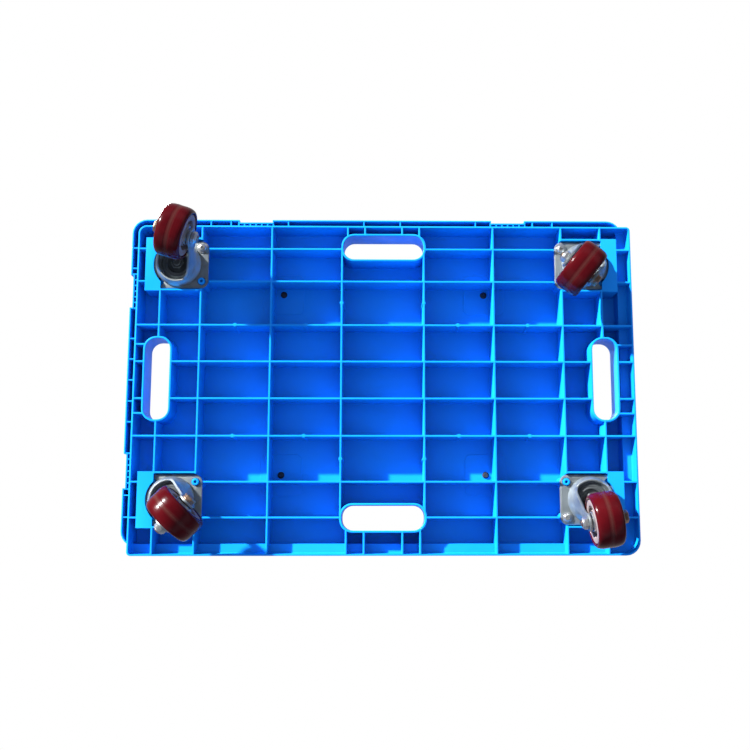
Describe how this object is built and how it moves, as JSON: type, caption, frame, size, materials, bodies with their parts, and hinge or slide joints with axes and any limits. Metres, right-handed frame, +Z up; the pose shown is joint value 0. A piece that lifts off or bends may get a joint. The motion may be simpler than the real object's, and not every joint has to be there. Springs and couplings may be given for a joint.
{
  "type": "platform dolly",
  "caption": "Rectangular ribbed plastic platform dolly with four hand holes, a side lip, anti-slip pads and four swivel casters.",
  "frame": {"origin": "centre of the footprint of the whole part, on the floor under the wheels", "axes": "+X along the long side, +Z up from the floor to the load deck, -Y is the front side that carries the lip"},
  "size_m": [0.6, 0.4008, 0.125],
  "materials": {
    "deck_plastic": "moulded blue polypropylene with a low sheen",
    "pad_rubber": "matt black rubber",
    "zinc_steel": "bright zinc-plated pressed steel",
    "bright_steel": "polished plated steel",
    "wheel_tread": "glossy maroon polyurethane",
    "wheel_core": "pale grey moulded plastic"
  },
  "bodies": {
    "deck": {"deck": "deck_plastic", "front_left_grip_pad": "pad_rubber", "front_right_grip_pad": "pad_rubber", "rear_left_grip_pad": "pad_rubber", "rear_right_grip_pad": "pad_rubber", "front_left_caster_plate": "zinc_steel", "front_left_kingpin": "zinc_steel", "front_left_kingpin_nut": "zinc_steel", "front_left_mounting_screw": "bright_steel", "front_right_caster_plate": "zinc_steel", "front_right_kingpin": "zinc_steel", "front_right_kingpin_nut": "zinc_steel", "front_right_mounting_screw": "bright_steel", "rear_left_caster_plate": "zinc_steel", "rear_left_kingpin": "zinc_steel", "rear_left_kingpin_nut": "zinc_steel", "rear_left_mounting_screw": "bright_steel", "rear_right_caster_plate": "zinc_steel", "rear_right_kingpin": "zinc_steel", "rear_right_kingpin_nut": "zinc_steel", "rear_right_mounting_screw": "bright_steel"},
    "front_left_caster": {"front_left_fork": "zinc_steel", "front_left_swivel_balls": "bright_steel", "front_left_axle_bolt": "bright_steel", "front_left_axle_nut": "bright_steel", "front_left_bearing_spacer": "zinc_steel"},
    "front_left_wheel": {"front_left_tread": "wheel_tread", "front_left_wheel_core": "wheel_core", "front_left_wheel_bearing_a": "bright_steel", "front_left_wheel_bearing_b": "bright_steel"},
    "front_right_caster": {"front_right_fork": "zinc_steel", "front_right_swivel_balls": "bright_steel", "front_right_axle_bolt": "bright_steel", "front_right_axle_nut": "bright_steel", "front_right_bearing_spacer": "zinc_steel"},
    "front_right_wheel": {"front_right_tread": "wheel_tread", "front_right_wheel_core": "wheel_core", "front_right_wheel_bearing_a": "bright_steel", "front_right_wheel_bearing_b": "bright_steel"},
    "rear_left_caster": {"rear_left_fork": "zinc_steel", "rear_left_swivel_balls": "bright_steel", "rear_left_axle_bolt": "bright_steel", "rear_left_axle_nut": "bright_steel", "rear_left_bearing_spacer": "zinc_steel"},
    "rear_left_wheel": {"rear_left_tread": "wheel_tread", "rear_left_wheel_core": "wheel_core", "rear_left_wheel_bearing_a": "bright_steel", "rear_left_wheel_bearing_b": "bright_steel"},
    "rear_right_caster": {"rear_right_fork": "zinc_steel", "rear_right_swivel_balls": "bright_steel", "rear_right_axle_bolt": "bright_steel", "rear_right_axle_nut": "bright_steel", "rear_right_bearing_spacer": "zinc_steel"},
    "rear_right_wheel": {"rear_right_tread": "wheel_tread", "rear_right_wheel_core": "wheel_core", "rear_right_wheel_bearing_a": "bright_steel", "rear_right_wheel_bearing_b": "bright_steel"}
  },
  "joints": [
    {"name": "front_left_swivel", "type": "hinge", "parent": "deck", "child": "front_left_caster", "pos_m": [-0.2435, -0.14408, 0.0865], "axis": [0, 0, 1], "continuous": true},
    {"name": "front_left_roll", "type": "hinge", "parent": "front_left_caster", "child": "front_left_wheel", "pos_m": [-0.23608, -0.16691, 0.03125], "axis": [0.9511, 0.309, 0], "continuous": true},
    {"name": "front_right_swivel", "type": "hinge", "parent": "deck", "child": "front_right_caster", "pos_m": [0.2435, -0.14408, 0.0865], "axis": [0, 0, 1], "continuous": true},
    {"name": "front_right_roll", "type": "hinge", "parent": "front_right_caster", "child": "front_right_wheel", "pos_m": [0.22856, -0.1253, 0.03125], "axis": [-0.7826, -0.6225, 0], "continuous": true},
    {"name": "rear_left_swivel", "type": "hinge", "parent": "deck", "child": "rear_left_caster", "pos_m": [-0.2435, 0.13592, 0.0865], "axis": [0, 0, 1], "continuous": true},
    {"name": "rear_left_roll", "type": "hinge", "parent": "rear_left_caster", "child": "rear_left_wheel", "pos_m": [-0.22638, 0.15274, 0.03125], "axis": [-0.7009, 0.7133, 0], "continuous": true},
    {"name": "rear_right_swivel", "type": "hinge", "parent": "deck", "child": "rear_right_caster", "pos_m": [0.2435, 0.13592, 0.0865], "axis": [0, 0, 1], "continuous": true},
    {"name": "rear_right_roll", "type": "hinge", "parent": "rear_right_caster", "child": "rear_right_wheel", "pos_m": [0.24725, 0.15962, 0.03125], "axis": [-0.9877, 0.1564, 0], "continuous": true}
  ]
}
